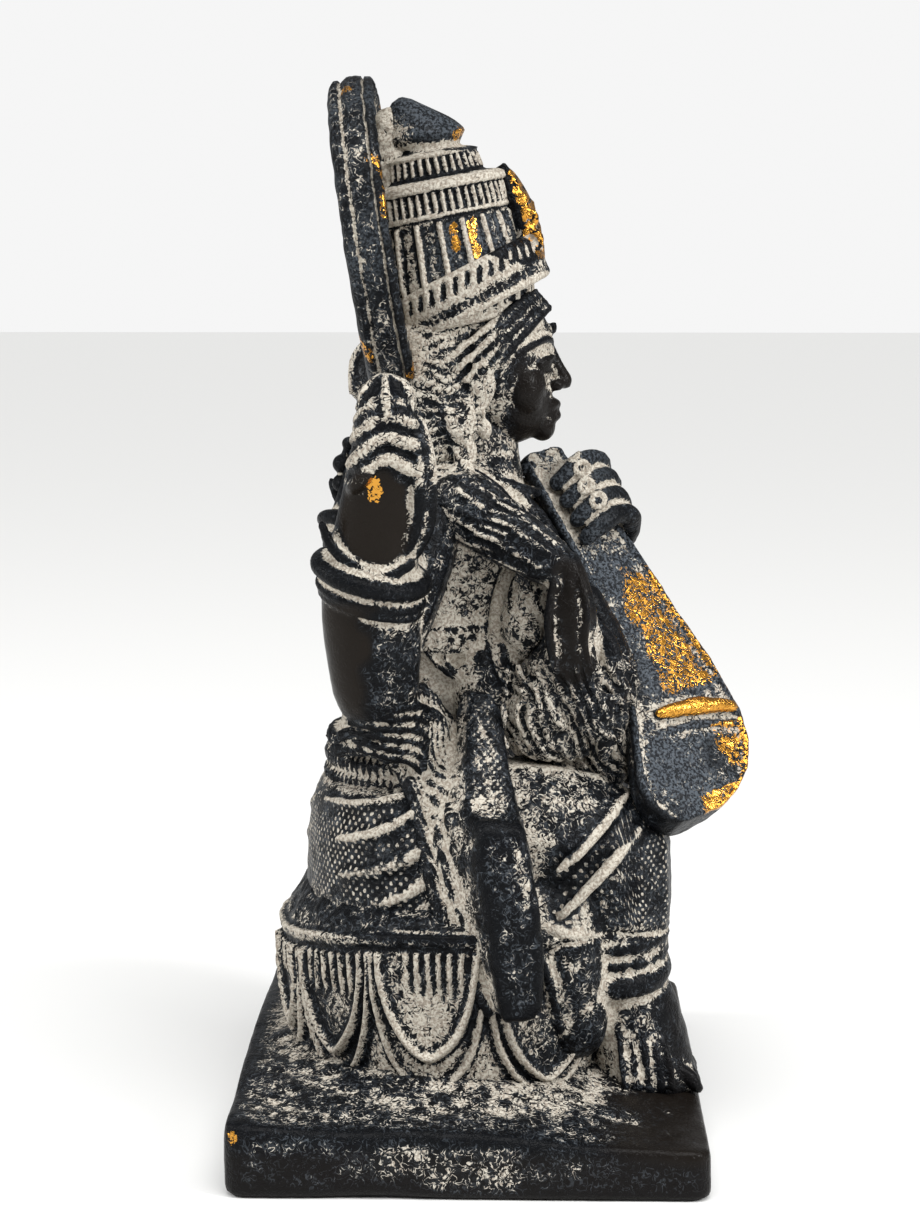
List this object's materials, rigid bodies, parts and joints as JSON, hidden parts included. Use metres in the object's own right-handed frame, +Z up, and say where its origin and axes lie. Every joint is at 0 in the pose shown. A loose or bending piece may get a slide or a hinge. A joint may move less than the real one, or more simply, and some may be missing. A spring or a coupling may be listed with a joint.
{
  "type": "saraswati figure",
  "caption": "Small blackened cast-brass figure of the four-armed goddess Saraswati seated on a lotus with her veena, before an oval halo, on a low plinth.",
  "frame": {"origin": "middle of the plinth's underside", "axes": "+Z up, from the plinth to the halo; -Y the way the figure faces; +X towards the figure's left hand"},
  "size_m": [0.0872, 0.0728, 0.1501],
  "materials": {
    "antiqued_brass": "blackened, with pale patina left in the hollows and brass rubbed bright on a few high places"
  },
  "bodies": {
    "root": {"saraswati_figure": "antiqued_brass"}
  },
  "joints": []
}
